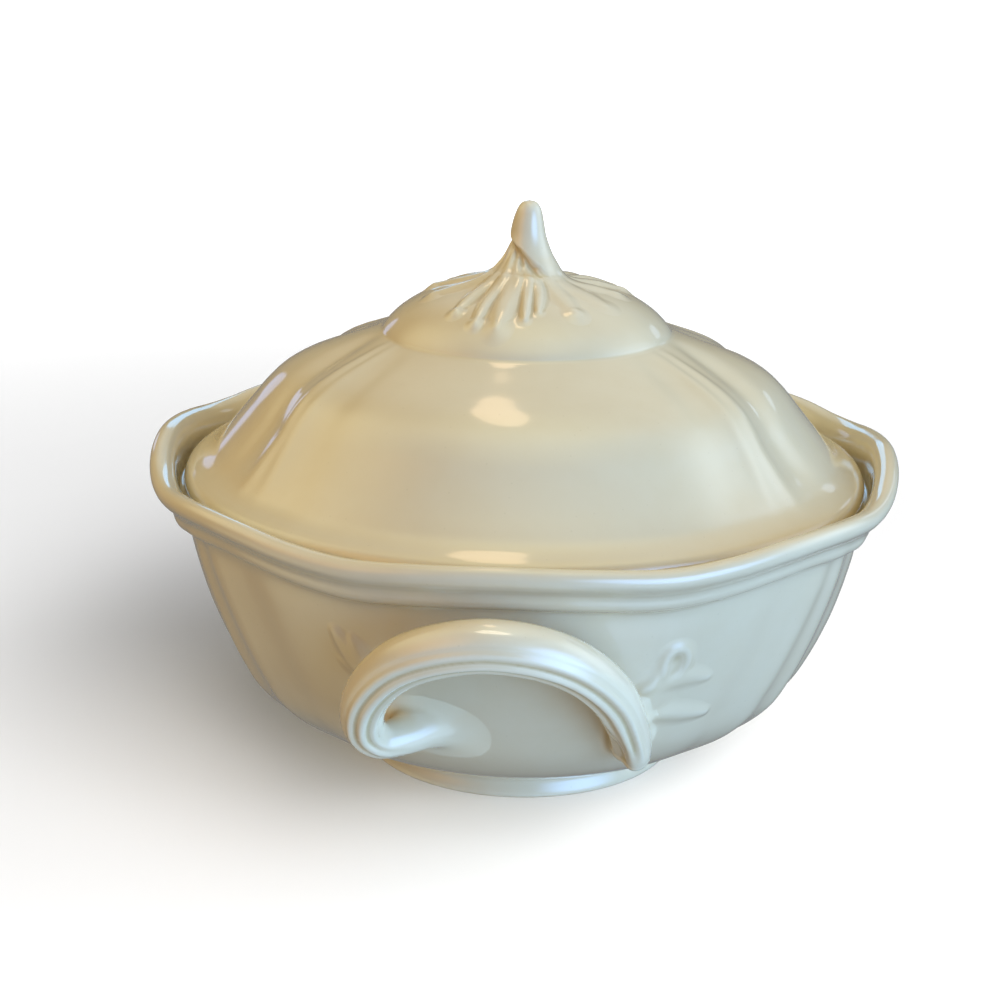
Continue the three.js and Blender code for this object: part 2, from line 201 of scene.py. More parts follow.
def relief(mesh):
    """Stores on each point how hollow (above 0) or sharp (below 0) the surface is there, for the glaze to pool in or run off."""
    n = len(mesh.vertices)
    co = np.zeros(n * 3, np.float32)
    mesh.vertices.foreach_get("co", co)
    co = co.reshape(-1, 3).astype(np.float64) * 1000
    no = np.zeros(n * 3, np.float32)
    mesh.vertex_normals.foreach_get("vector", no)
    no = no.reshape(-1, 3)
    e = np.zeros(len(mesh.edges) * 2, np.int32)
    mesh.edges.foreach_get("vertices", e)
    e = e.reshape(-1, 2)
    d = co[e[:, 1]] - co[e[:, 0]]
    l2 = np.maximum((d * d).sum(1), 1e-6)
    k0 = 2 * (d * no[e[:, 0]]).sum(1) / l2
    k1 = -2 * (d * no[e[:, 1]]).sum(1) / l2
    w = np.sqrt(l2)
    total = np.bincount(e[:, 0], w, n) + np.bincount(e[:, 1], w, n)
    k = (np.bincount(e[:, 0], k0 * w, n) + np.bincount(e[:, 1], k1 * w, n)) / np.maximum(total, 1e-9)
    k = np.clip(k, -.2, 1)
    count = np.maximum(np.bincount(e[:, 0], minlength=n) + np.bincount(e[:, 1], minlength=n), 1)
    for _ in range(6):
        k = .4 * k + .6 * (np.bincount(e[:, 0], k[e[:, 1]], n) + np.bincount(e[:, 1], k[e[:, 0]], n)) / count
    a = mesh.attributes.new("hollow", "FLOAT", "POINT")
    a.data.foreach_set("value", np.clip(k * 4, -1, 1).astype(np.float32))


def ring_grid(rows, axis_first=False, axis_last=False, loop=False):
    """Points and faces of rows of points that run round the axis. A row at the axis is one point."""
    verts, index = [], []
    total = 0
    for i, row in enumerate(rows):
        if (i == 0 and axis_first) or (i == len(rows) - 1 and axis_last):
            verts.append(row[:1])
            index.append(np.full(len(row), total))
            total += 1
        else:
            verts.append(row)
            index.append(np.arange(total, total + len(row)))
            total += len(row)
    faces = []
    pairs = list(zip(index[:-1], index[1:]))
    if loop:
        pairs.append((index[-1], index[0]))
    for a, b in pairs:
        an, bn = np.roll(a, -1), np.roll(b, -1)
        if a[0] == a[1]:
            faces.extend(np.stack([a, bn, b], 1))
        elif b[0] == b[1]:
            faces.extend(np.stack([a, an, b], 1))
        else:
            faces.extend(np.stack([a, an, bn, b], 1))
    return np.vstack(verts), faces


def facing_out(verts, faces):
    """The same faces, turned to face outward."""
    v = np.asarray(verts)
    tri = []
    for n in (3, 4):
        f = np.array([f for f in faces if len(f) == n]) if not isinstance(faces, np.ndarray) else (faces if faces.shape[1] == n else np.zeros((0, n), int))
        for k in range(1, n - 1):
            if len(f):
                tri.append(f[:, [0, k, k + 1]])
    t = np.vstack(tri)
    volume = float((v[t[:, 0]] * np.cross(v[t[:, 1]], v[t[:, 2]])).sum())
    if volume > 0:
        return faces
    return faces[:, ::-1] if isinstance(faces, np.ndarray) else [f[::-1] for f in faces]


N_AZ = 400
AZ = np.arange(N_AZ) * 360 / N_AZ
Q = quarter(AZ)


def bowl_rows():
    prof = spline([p[:4] for p in BOWL], [p[4] for p in BOWL])
    rows = []
    for r, z, lip, fold in prof:
        lip, fold = np.clip(lip, 0, 1), np.clip(fold, 0, 1)
        rr = r + lip_out(Q) * lip + bowl_fold(Q, z) * fold if r > 1e-6 else 0 * Q
        zz = z + (lip_height(Q) - RIM_NOMINAL_Z) * lip
        rows.append(place(AZ, rr, zz))
    return prof, rows


def lid_rows():
    prof = spline([p[:3] for p in LID], [p[3] for p in LID])
    rows = []
    for r, z, fold in prof:
        f = lid_fold(Q, r) * np.clip(fold, 0, 1)
        rows.append(place(AZ, r + .72 * f if r > 1e-6 else 0 * Q, z + .69 * f))
    return prof, rows


def turned_rows(table, n=240):
    prof = spline([p[:2] for p in table], [p[2] for p in table])[:-1]
    az = np.arange(n) * 360 / n
    return [place(az, np.full(n, r), np.full(n, z)) for r, z in prof]


# ------------------------------------------------------------------ the bowl's wall as a field
def wall_table(prof):
    """Outer radius of the bowl by height and azimuth, near the front handle."""
    az = np.arange(-70, 70.01, 1.0)
    top = int(np.argmax(prof[:, 0]))
    out = prof[top:]
    zs = np.arange(8, 94, .25)
    table = np.zeros((len(zs), len(az)))
    for j, a in enumerate(az):
        q = quarter(np.array([a]))[0]
        lip, fold = np.clip(out[:, 2], 0, 1), np.clip(out[:, 3], 0, 1)
        r = out[:, 0] + lip_out(q) * lip + bowl_fold(q, out[:, 1]) * fold
        z = out[:, 1] + (lip_height(q) - RIM_NOMINAL_Z) * lip
        order = np.argsort(z)
        table[:, j] = np.interp(zs, z[order], r[order])
    return az, zs, table


class Wall:
    def __init__(self, prof):
        self.az, self.zs, self.table = wall_table(prof)
        self.slope = np.gradient(self.table, .25, axis=0)

    def _at(self, table, az, z):
        u = np.clip(az - self.az[0], 0, len(self.az) - 1.001)
        v = np.clip((z - self.zs[0]) / .25, 0, len(self.zs) - 1.001)
        i, j = v.astype(int), u.astype(int)
        fv, fu = v - i, u - j
        return ((table[i, j] * (1 - fu) + table[i, j + 1] * fu) * (1 - fv) + (table[i + 1, j] * (1 - fu) + table[i + 1, j + 1] * fu) * fv)

    def radius(self, az, z):
        return self._at(self.table, az, z)

    def height(self, p):
        """How far points stand out of the wall."""
        az = np.degrees(np.arctan2(p[:, 0], -p[:, 1]))
        r = np.hypot(p[:, 0], p[:, 1])
        s = self._at(self.slope, az, p[:, 2])
        return (r - self._at(self.table, az, p[:, 2])) / np.sqrt(1 + s * s)

    def point(self, az, z, h):
        """The point that stands h out of the wall at that azimuth and height."""
        s = self._at(self.slope, az, z)
        n = np.sqrt(1 + s * s)
        return place(az, self.radius(az, z) + h / n, z - h * s / n)


# ------------------------------------------------------------------ smooth solids from fields
def surface_of(field, low, high, step):
    """Quads of the surface where the field is zero (inside is below zero), on a grid of that step."""
    axes = [np.arange(low[i], high[i] + step, step) for i in range(3)]
    shape = [len(a) for a in axes]
    wide = 4
    coarse = [a[::wide] for a in axes]
    g = np.stack(np.meshgrid(*coarse, indexing="ij"), -1)
    rough = field(g.reshape(-1, 3)).reshape(g.shape[:3])
    pick = [np.minimum((np.arange(n) + wide // 2) // wide, len(c) - 1) for n, c in zip(shape, coarse)]
    F = rough[np.ix_(*pick)].astype(np.float32)
    near = np.argwhere(np.abs(F) < 2.2 * wide * step)
    for part in np.array_split(near, max(1, len(near) // 40000)):
        p = np.stack([axes[k][part[:, k]] for k in range(3)], 1)
        F[tuple(part.T)] = field(p)
    inside = F < 0
    nx, ny, nz = shape
    count = np.zeros((nx - 1, ny - 1, nz - 1), np.uint8)
    for dx in (0, 1):
        for dy in (0, 1):
            for dz in (0, 1):
                count += inside[dx:nx - 1 + dx, dy:ny - 1 + dy, dz:nz - 1 + dz]
    cells = np.argwhere((count > 0) & (count < 8))
    index = np.full(count.shape, -1, np.int64)
    index[tuple(cells.T)] = np.arange(len(cells))
    total = np.zeros((len(cells), 3))
    hits = np.zeros(len(cells))
    corners = [(a, b, c) for a in (0, 1) for b in (0, 1) for c in (0, 1)]
    for c0 in corners:
        for ax in range(3):
            if c0[ax]:
                continue
            c1 = list(c0)
            c1[ax] = 1
            f0 = F[cells[:, 0] + c0[0], cells[:, 1] + c0[1], cells[:, 2] + c0[2]].astype(float)
            f1 = F[cells[:, 0] + c1[0], cells[:, 1] + c1[1], cells[:, 2] + c1[2]].astype(float)
            cross = (f0 < 0) != (f1 < 0)
            t = np.where(cross, f0 / np.where(cross, f0 - f1, 1), 0)
            point = np.tile(np.array(c0, float), (len(cells), 1))
            point[:, ax] += t
            total += np.where(cross[:, None], point, 0)
            hits += cross
    verts = np.array(low) + (cells + total / hits[:, None]) * step
    quads = []
    for ax in range(3):
        b, c = (ax + 1) % 3, (ax + 2) % 3
        lo = [slice(None)] * 3
        hi = [slice(None)] * 3
        lo[ax], hi[ax] = slice(0, -1), slice(1, None)
        s0, s1 = inside[tuple(lo)], inside[tuple(hi)]
        at = np.argwhere(s0 != s1)
        at = at[(at[:, b] > 0) & (at[:, c] > 0) & (at[:, b] < shape[b] - 1) & (at[:, c] < shape[c] - 1)]
        way = s0[tuple(at.T)]

        def cell(db, dc):
            k = at.copy()
            k[:, b] -= db
            k[:, c] -= dc
            return index[tuple(k.T)]

        q = np.stack([cell(1, 1), cell(0, 1), cell(0, 0), cell(1, 0)], 1)
        q = np.where(way[:, None], q, q[:, ::-1])
        quads.append(q)
    quads = np.vstack(quads)
    e = .05
    for _ in range(3):
        f = field(verts)
        g = np.stack([(field(verts + d) - field(verts - d)) / (2 * e) for d in np.eye(3) * e], 1)
        move = -f[:, None] * g / np.maximum((g * g).sum(1), .05)[:, None]
        length = np.linalg.norm(move, axis=1, keepdims=True)
        verts = verts + move * np.minimum(1, .5 * step / np.maximum(length, 1e-9))
    return verts, quads


class Branch:
    """The handle: a bar along the centre line, smooth on its outer side and fluted towards the finger gap."""

    def __init__(self):
        line = spline([p for p in HANDLE], [.8] * len(HANDLE))
        self.p, self.r = line[:, :3], line[:, 3]
        step = np.linalg.norm(np.diff(self.p, axis=0), axis=1)
        self.s = np.concatenate([[0], np.cumsum(step)])
        t = np.gradient(self.p, axis=0)
        self.t = t / np.linalg.norm(t, axis=1, keepdims=True)
        apex = int(np.argmax(self.p[:, 2]))
        u = np.zeros_like(self.p)
        u0 = np.array([0, -.57, .82])
        u[apex] = u0 - self.t[apex] * (u0 @ self.t[apex])
        for run in (range(apex + 1, len(u)), range(apex - 1, -1, -1)):
            for i in run:
                j = i - 1 if i > apex else i + 1
                v = u[j] - self.t[i] * (u[j] @ self.t[i])
                u[i] = v / np.linalg.norm(v)
        u[apex] /= np.linalg.norm(u[apex])
        self.u = u
        self.n = np.cross(self.u, self.t)
        if self.n[apex, 1] > 0:
            self.n = -self.n
        self.heel = self.s[int(np.argmin(np.where(self.p[:, 0] < -30, self.p[:, 2], 999)))]
        self.end = self.s[-1]

    def nearest(self, p):
        best = np.full(len(p), 1e9)
        which = np.zeros(len(p), int)
        c2 = (self.p ** 2).sum(1)
        d = c2[None, :] - 2 * (p.astype(np.float32) @ self.p.T.astype(np.float32))
        which = np.argmin(d, 1)
        i = np.clip(which, 1, len(self.p) - 2)
        # along the two stretches beside the nearest sample
        out = None
        for a in (i - 1, i):
            v = self.p[a + 1] - self.p[a]
            w = np.clip(((p - self.p[a]) * v).sum(1) / (v * v).sum(1), 0, 1)
            q = p - (self.p[a] + v * w[:, None])
            dd = (q * q).sum(1)
            s = self.s[a] + (self.s[a + 1] - self.s[a]) * w
            if out is None:
                out = [dd, s, a + w, q]
            else:
                better = dd < out[0]
                out = [np.where(better, dd, out[0]), np.where(better, s, out[1]), np.where(better, a + w, out[2]), np.where(better[:, None], q, out[3])]
        return np.sqrt(out[0]), out[1], out[2], out[3]

    def field(self, p):
        d, s, k, q = self.nearest(p)
        i = np.clip(k.astype(int), 0, len(self.p) - 2)
        w = (k - i)[:, None]
        u = self.u[i] * (1 - w) + self.u[i + 1] * w
        n = self.n[i] * (1 - w) + self.n[i + 1] * w
        th = np.degrees(np.arctan2((q * n).sum(1), (q * u).sum(1)))
        r = np.interp(s, self.s, self.r)
        ends = ramp(s, self.heel - 5, self.heel + 14)
        flat = 1 - .1 * (1 - ends)
        near = ramp(th, 32, 60) * (1 - ramp(th, 122, 146)) + .5 * ramp(-th, 45, 75) * (1 - ramp(-th, 110, 140))
        fade = near * ends * (1 - ramp(s, self.end - 15, self.end - 1)) * (1 - ramp(s, self.end - 30, self.end - 14) * ramp(th, 92, 112))
        wave = .5 + .5 * np.cos(np.radians(10 * (th - 74)))
        depth = .85 * fade * wave ** 1.2
        ridge = .3 * fade
        tip = ramp(s, self.end - 30, self.end - 5)
        hollow = 2.4 * tip * bump(np.mod(th + 360, 360), 134, 34) * (1 - ramp(s, self.end - 1.5, self.end + .01) * .35)
        return d - (r * flat + ridge - depth - hollow)


def heightfield_piece(name, wall, az, z, height, body, node, material):
    """A relief on the wall: the front stands out by the height at each point, and the edge runs under the wall."""
    A, Z = np.meshgrid(az, z, indexing="ij")
    H = height(A, Z)
    top = wall.point(A.reshape(-1), Z.reshape(-1), H.reshape(-1))
    back = wall.point(A.reshape(-1), Z.reshape(-1), np.full(A.size, -1.2))
    keep = H > -.042
    keep[1:-1, 1:-1] = keep[1:-1, 1:-1] | keep[:-2, 1:-1] | keep[2:, 1:-1] | keep[1:-1, :-2] | keep[1:-1, 2:]
    return sheet_solid(name, top, back, keep, body, node, material)


def thick_sheet(top, back, front):
    """Closes a sheet: its front faces, the same faces on the back points, and a rim between them."""
    total = len(top)
    rear = front[:, ::-1] + total
    edges = np.vstack([front[:, [i, (i + 1) % 4]] for i in range(4)])
    key = edges[:, 0] * total + edges[:, 1]
    other = edges[:, 1] * total + edges[:, 0]
    rim = edges[~np.isin(key, other)]
    side = np.stack([rim[:, 1], rim[:, 0], rim[:, 0] + total, rim[:, 1] + total], 1)
    faces = np.vstack([front, rear, side])
    verts = np.vstack([top, back])
    used = np.unique(faces)
    renumber = np.zeros(len(verts), int)
    renumber[used] = np.arange(len(used))
    return verts[used], renumber[faces]


def sheet_solid(name, top, back, keep, body, node, material):
    n, m = keep.shape
    index = np.arange(n * m).reshape(n, m)
    cell = keep[:-1, :-1] & keep[1:, :-1] & keep[1:, 1:] & keep[:-1, 1:]
    front = np.stack([index[:-1, :-1][cell], index[1:, :-1][cell], index[1:, 1:][cell], index[:-1, 1:][cell]], 1)
    verts, faces = thick_sheet(top, back, front)
    faces = facing_out(verts - verts.mean(0), faces)
    return add_object(name, verts, np.asarray(faces), body, node, material)


def half_turn(ob, name, body, node, material):
    """The same piece on the far side, turned half round about the upright axis."""
    mesh = ob.data.copy()
    mesh.name = name
    mesh.transform(Matrix.Rotation(math.pi, 4, "Z"))
    other = bpy.data.objects.new(name, mesh)
    bpy.context.scene.collection.objects.link(other)
    mesh.materials.clear()
    mesh.materials.append(material)
    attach(other, body)
    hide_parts(node)
    return other


# ------------------------------------------------------------------ glaze
# depth is the amount of painted warm light worked into the base colours.
def glaze(name, seed, depth=0.0):
    """Ivory glaze over pale clay: slightly uneven in colour, thin and paler on ridges, deeper in hollows, with a soft ripple in its gloss."""
    mat = bpy.data.materials.new(name)
    mat.use_nodes = True
    nt = mat.node_tree
    nodes, links = nt.nodes, nt.links
    nodes.clear()
    out = nodes.new("ShaderNodeOutputMaterial")
    bsdf = nodes.new("ShaderNodeBsdfPrincipled")
    links.new(bsdf.outputs[0], out.inputs[0])
    coord = nodes.new("ShaderNodeTexCoord")
    shift = nodes.new("ShaderNodeVectorMath")
    shift.operation = "ADD"
    shift.inputs[1].default_value = (seed * .37, seed * .53, seed * .29)
    links.new(coord.outputs["Object"], shift.inputs[0])

    def noise(scale, detail, rough=.5):
        t = nodes.new("ShaderNodeTexNoise")
        t.inputs["Scale"].default_value = scale
        t.inputs["Detail"].default_value = detail
        t.inputs["Roughness"].default_value = rough
        links.new(shift.outputs[0], t.inputs["Vector"])
        return t.outputs["Fac"]

    def fit(value, a, b, c, d):
        m = nodes.new("ShaderNodeMapRange")
        for i, v in enumerate((a, b, c, d)):
            m.inputs[i + 1].default_value = v
        links.new(value, m.inputs[0])
        return m.outputs[0]

    def mix(fac, a, b):
        m = nodes.new("ShaderNodeMix")
        m.data_type = "RGBA"
        links.new(fac, m.inputs["Factor"])
        for socket, v in ((m.inputs[6], a), (m.inputs[7], b)):
            if isinstance(v, tuple):
                socket.default_value = (*v, 1)
            else:
                links.new(v, socket)
        return m.outputs[2]

    # Painted warm light: the larger depth is, the more blue and the little green the base colours lose, so that a piece
    # looks lit by the warm lamps above.
    def lamp_warmed(color):
        return (color[0] * (1 - .04 * depth), color[1] * (1 - .09 * depth), color[2] * (1 - .3 * depth))

    broad = fit(noise(11, 2), .3, .7, 0, 1)
    fine = fit(noise(120, 3), .35, .7, 0, 1)
    base = mix(broad, lamp_warmed(BODY_A), lamp_warmed(BODY_B))
    base = mix(fit(fine, 0, 1, 0, .35), base, lamp_warmed(BODY_C))
    hollow = nodes.new("ShaderNodeAttribute")
    hollow.attribute_name = "hollow"
    pool = fit(hollow.outputs["Fac"], .25, 1, 0, .75)
    base = mix(pool, base, POOL)
    thin = fit(hollow.outputs["Fac"], -.25, -1, 0, .55)
    base = mix(thin, base, THIN)
    specks = nodes.new("ShaderNodeTexVoronoi")
    specks.inputs["Scale"].default_value = 260
    links.new(shift.outputs[0], specks.inputs["Vector"])
    spot = fit(specks.outputs["Distance"], .05, .085, .16, 0)
    base = mix(spot, base, SPECK)
    links.new(base, bsdf.inputs["Base Color"])
    links.new(fit(noise(45, 3), .3, .7, ROUGH[0], ROUGH[1]), bsdf.inputs["Roughness"])
    bsdf.inputs["IOR"].default_value = 1.52
    bsdf.inputs["Coat Weight"].default_value = .35
    bsdf.inputs["Coat Roughness"].default_value = .035
    bsdf.inputs["Coat IOR"].default_value = 1.5
    ripple = nodes.new("ShaderNodeBump")
    ripple.inputs["Strength"].default_value = .5
    ripple.inputs["Distance"].default_value = .00035
    links.new(noise(34, 1.5), ripple.inputs["Height"])
    peel = nodes.new("ShaderNodeBump")
    peel.inputs["Strength"].default_value = .25
    peel.inputs["Distance"].default_value = .00001
    links.new(noise(650, 2), peel.inputs["Height"])
    links.new(ripple.outputs[0], peel.inputs["Normal"])
    links.new(peel.outputs[0], bsdf.inputs["Normal"])
    return mat


BODY_A = (.69, .59, .385)
BODY_B = (.665, .555, .35)
BODY_C = (.705, .61, .41)
POOL = (.47, .35, .165)
THIN = (.76, .69, .50)
SPECK = (.45, .36, .24)
ROUGH = (.07, .12)

glaze_dish = glaze("glaze_dish", 1)
# The lid's glaze is the dish's glaze made a little yellower: painted warm light falling on the top of the dish.
glaze_lid = glaze("glaze_lid", 2, .1)

# ------------------------------------------------------------------ dish
bowl_prof, rows = bowl_rows()
v, f = ring_grid(rows, True, True)
add_object("bowl", v, facing_out(v, f), "dish", "bowl_body", glaze_dish)
rows = turned_rows(FOOT)
v, f = ring_grid(rows, loop=True)
add_object("foot", v, facing_out(v, f), "dish", "foot_ring", glaze_dish)

wall = Wall(bowl_prof)
branch = Branch()


def leaf(x, y, pts, width, height, crease=0.0, flat=2.2):
    """Height of one leaf whose middle line runs through pts: full along the middle, thin at its ends, with a crease where one is given."""
    P = np.array(pts, float)
    line = spline(np.column_stack([P, np.zeros(len(P))]), [.7] * len(P))[:, :2]
    seg = np.diff(line, axis=0)
    s = np.concatenate([[0], np.cumsum(np.linalg.norm(seg, axis=1))])
    best = np.full(x.shape, 1e9)
    along = np.zeros(x.shape)
    across = np.zeros(x.shape)
    for i in range(len(seg)):
        dx, dy = x - line[i, 0], y - line[i, 1]
        w = np.clip((dx * seg[i, 0] + dy * seg[i, 1]) / (seg[i] @ seg[i]), 0, 1)
        ex, ey = dx - w * seg[i, 0], dy - w * seg[i, 1]
        d = np.hypot(ex, ey)
        b = d < best
        best = np.where(b, d, best)
        along = np.where(b, (s[i] + w * (s[i + 1] - s[i])) / s[-1], along)
        across = np.where(b, np.sign(seg[i, 0] * ey - seg[i, 1] * ex) * d, across)
    half = width * .5 * np.interp(along, [0, .12, .35, .6, .85, 1], [.6, .85, 1, .95, .75, .45])
    t = best / half
    h = height * np.interp(along, [0, .2, .6, 1], [.85, 1, .95, .7])
    return h * np.exp(-1.25 * t ** flat) * (1 - crease * bump(across / half, 0, .28))


def join(*heights):
    """The outline of several reliefs that flow together where they meet."""
    return sum(np.maximum(h, 0) ** 3 for h in heights) ** (1 / 3)


def soften(h, times, wrap=False):
    """Rounds a relief as a thick glaze does."""
    for _ in range(times):
        for ax in (0, 1):
            if ax == 1 and wrap:
                h = .5 * h + .25 * (np.roll(h, 1, 1) + np.roll(h, -1, 1))
            else:
                up = np.concatenate([np.take(h, [0], ax), np.take(h, range(h.shape[ax] - 1), ax)], ax)
                dn = np.concatenate([np.take(h, range(1, h.shape[ax]), ax), np.take(h, [-1], ax)], ax)
                h = .5 * h + .25 * (up + dn)
    return h


def spray_height(A, Z):
    x, y = (A - 27) * 1.8, Z - 55
    h = join(
        leaf(x, y, [(-9.5, -20), (-8.6, -9), (-6.4, 0), (-4.6, 8)], 13, 1.6),
        leaf(x, y, [(-4.2, 5.5), (-4.4, 10.5), (-2.8, 13.8), (.6, 14), (2.6, 11), (2.4, 7), (1, 4.8)], 4.4, 1.15),
        leaf(x, y, [(-5, 1.6), (0, 3.2), (5, 3.4), (11.6, 2.2)], 6.4, 1.15, .1),
        leaf(x, y, [(-7.4, -9), (-1, -8.6), (7, -10), (16, -11.6)], 6.6, 1.3),
        leaf(x, y, [(-10, 1.6), (-7.6, 3), (-6.4, 5.4)], 5.5, 1.7))
    return soften(h, 8) - .05


def bud_height(A, Z):
    x, y = (A + 25.5) * 1.84, Z - 64
    h = join(
        leaf(x, y, [(5.4, -5), (2, -2.6), (-.6, 2), (-3.6, 7)], 7.4, 1.9, .3),
        leaf(x, y, [(5.6, -2), (3.4, 1.6), (1.6, 6)], 6, 1.5),
        leaf(x, y, [(3.4, -8), (-.4, -5), (-4, -2.6)], 5, .8))
    return soften(h, 8) - .05


SPRAY_AZ, SPRAY_Z = np.arange(13, 44, .2), np.arange(26, 76, .36)
SPRAY = np.maximum(spray_height(*np.meshgrid(SPRAY_AZ, SPRAY_Z, indexing="ij")), 0)
SPRAY[:2] = SPRAY[-2:] = SPRAY[:, :2] = SPRAY[:, -2:] = 0


def spray_at(p):
    """How far the leaf spray stands out of the wall at points near it."""
    u = np.clip((np.degrees(np.arctan2(p[:, 0], -p[:, 1])) - SPRAY_AZ[0]) / .2, 0, len(SPRAY_AZ) - 1.001)
    v = np.clip((p[:, 2] - SPRAY_Z[0]) / .36, 0, len(SPRAY_Z) - 1.001)
    i, j = u.astype(int), v.astype(int)
    a, b = u - i, v - j
    return (SPRAY[i, j] * (1 - a) + SPRAY[i + 1, j] * a) * (1 - b) + (SPRAY[i, j + 1] * (1 - a) + SPRAY[i + 1, j + 1] * a) * b


def handle_field(p):
    bar = branch.field(p)
    back = wall.height(p)
    out = back - spray_at(p)
    k = 9 - 4 * ramp(p[:, 0], -12, 14) + 2 * ramp(p[:, 0], 22, 32) * ramp(p[:, 2], 62, 50)
    low = ramp(p[:, 2], 66, 56)
    h = np.maximum(k - np.abs(bar - out - .03), 0) / k
    f = bar * (1 - low) + (np.minimum(bar, out + .03) - h ** 3 * k / 6) * low
    f = np.maximum(f, -(back + 1.6))
    return np.maximum(f, bar - .9 * k)


v, f = surface_of(handle_field, (-62, -136, 16), (58, -76, 91), .5)
front = add_object("handle_front", v, f, "dish", "front_handle", glaze_dish)
half_turn(front, "handle_rear", "dish", "rear_handle", glaze_dish)


front = heightfield_piece("leaf_spray_front", wall, SPRAY_AZ, SPRAY_Z, spray_height, "dish", "front_leaf_spray", glaze_dish)
half_turn(front, "leaf_spray_rear", "dish", "rear_leaf_spray", glaze_dish)
front = heightfield_piece("leaf_bud_front", wall, np.arange(-36, -18, .2), np.arange(48, 78, .36), bud_height, "dish", "front_leaf_bud", glaze_dish)
half_turn(front, "leaf_bud_rear", "dish", "rear_leaf_bud", glaze_dish)

# ------------------------------------------------------------------ lid
lid_prof, rows = lid_rows()
v, f = ring_grid(rows, True, True)
add_object("lid", v, facing_out(v, f), "lid", "lid_shell", glaze_lid)
rows = turned_rows(RING)
v, f = ring_grid(rows, loop=True)
add_object("locating_ring", v, facing_out(v, f), "lid", "lid_locating_ring", glaze_lid)

crown = lid_prof[:int(np.argmax(lid_prof[:, 0])) + 1]


def crown_z(r):
    return np.interp(r, crown[:, 0], crown[:, 1])


# root-like leaves: azimuth at the stem, azimuth at the tip, tip radius, width, height, knob at the tip
ROOTS = [
    (-68, -74, 32, 8.5, 1.4, .2), (-47, -38, 35, 6.4, 1.3, .4), (-30, -23, 38, 6.4, 1.4, .4), (-13, -12, 39.5, 10, 1.5, .1), (3, .5, 35, 5.4, 1.5, -.4), (16, 8, 31.5, 5.6, 1.3, -.4),
    (32, 29, 33.5, 9, .7, .6), (54, 54, 32, 11, .6, .1), (78, 84, 30, 9, 1, .2), (102, 108, 33, 8, 1.2, .3), (124, 128, 36, 7.6, 1.3, .4), (146, 149, 37, 8.4, 1.4, .3),
    (168, 170, 36, 7, 1.3, .2), (-172, -171, 35, 7, 1.3, .2), (-150, -152, 37, 8, 1.4, .4), (-126, -129, 35, 8, 1.3, .3), (-98, -102, 32, 8.5, 1.4, .3),
]
# strands that run from the roots up the stem: azimuth and strength
STRANDS = [(-68, 1), (-47, .6), (-30, 1), (-11, 1), (5, 1), (102, .5), (140, .5), (180, .5), (-140, .6), (-106, .8)]
GROOVE_Z = [150, 156, 159, 161.5, 164.3, 167.7, 172, 179]
GROOVE_AZ = [22, 18, 9, -7, -30, -88, -150, -235]


def turn(a):
    return np.mod(a + 180, 360) - 180


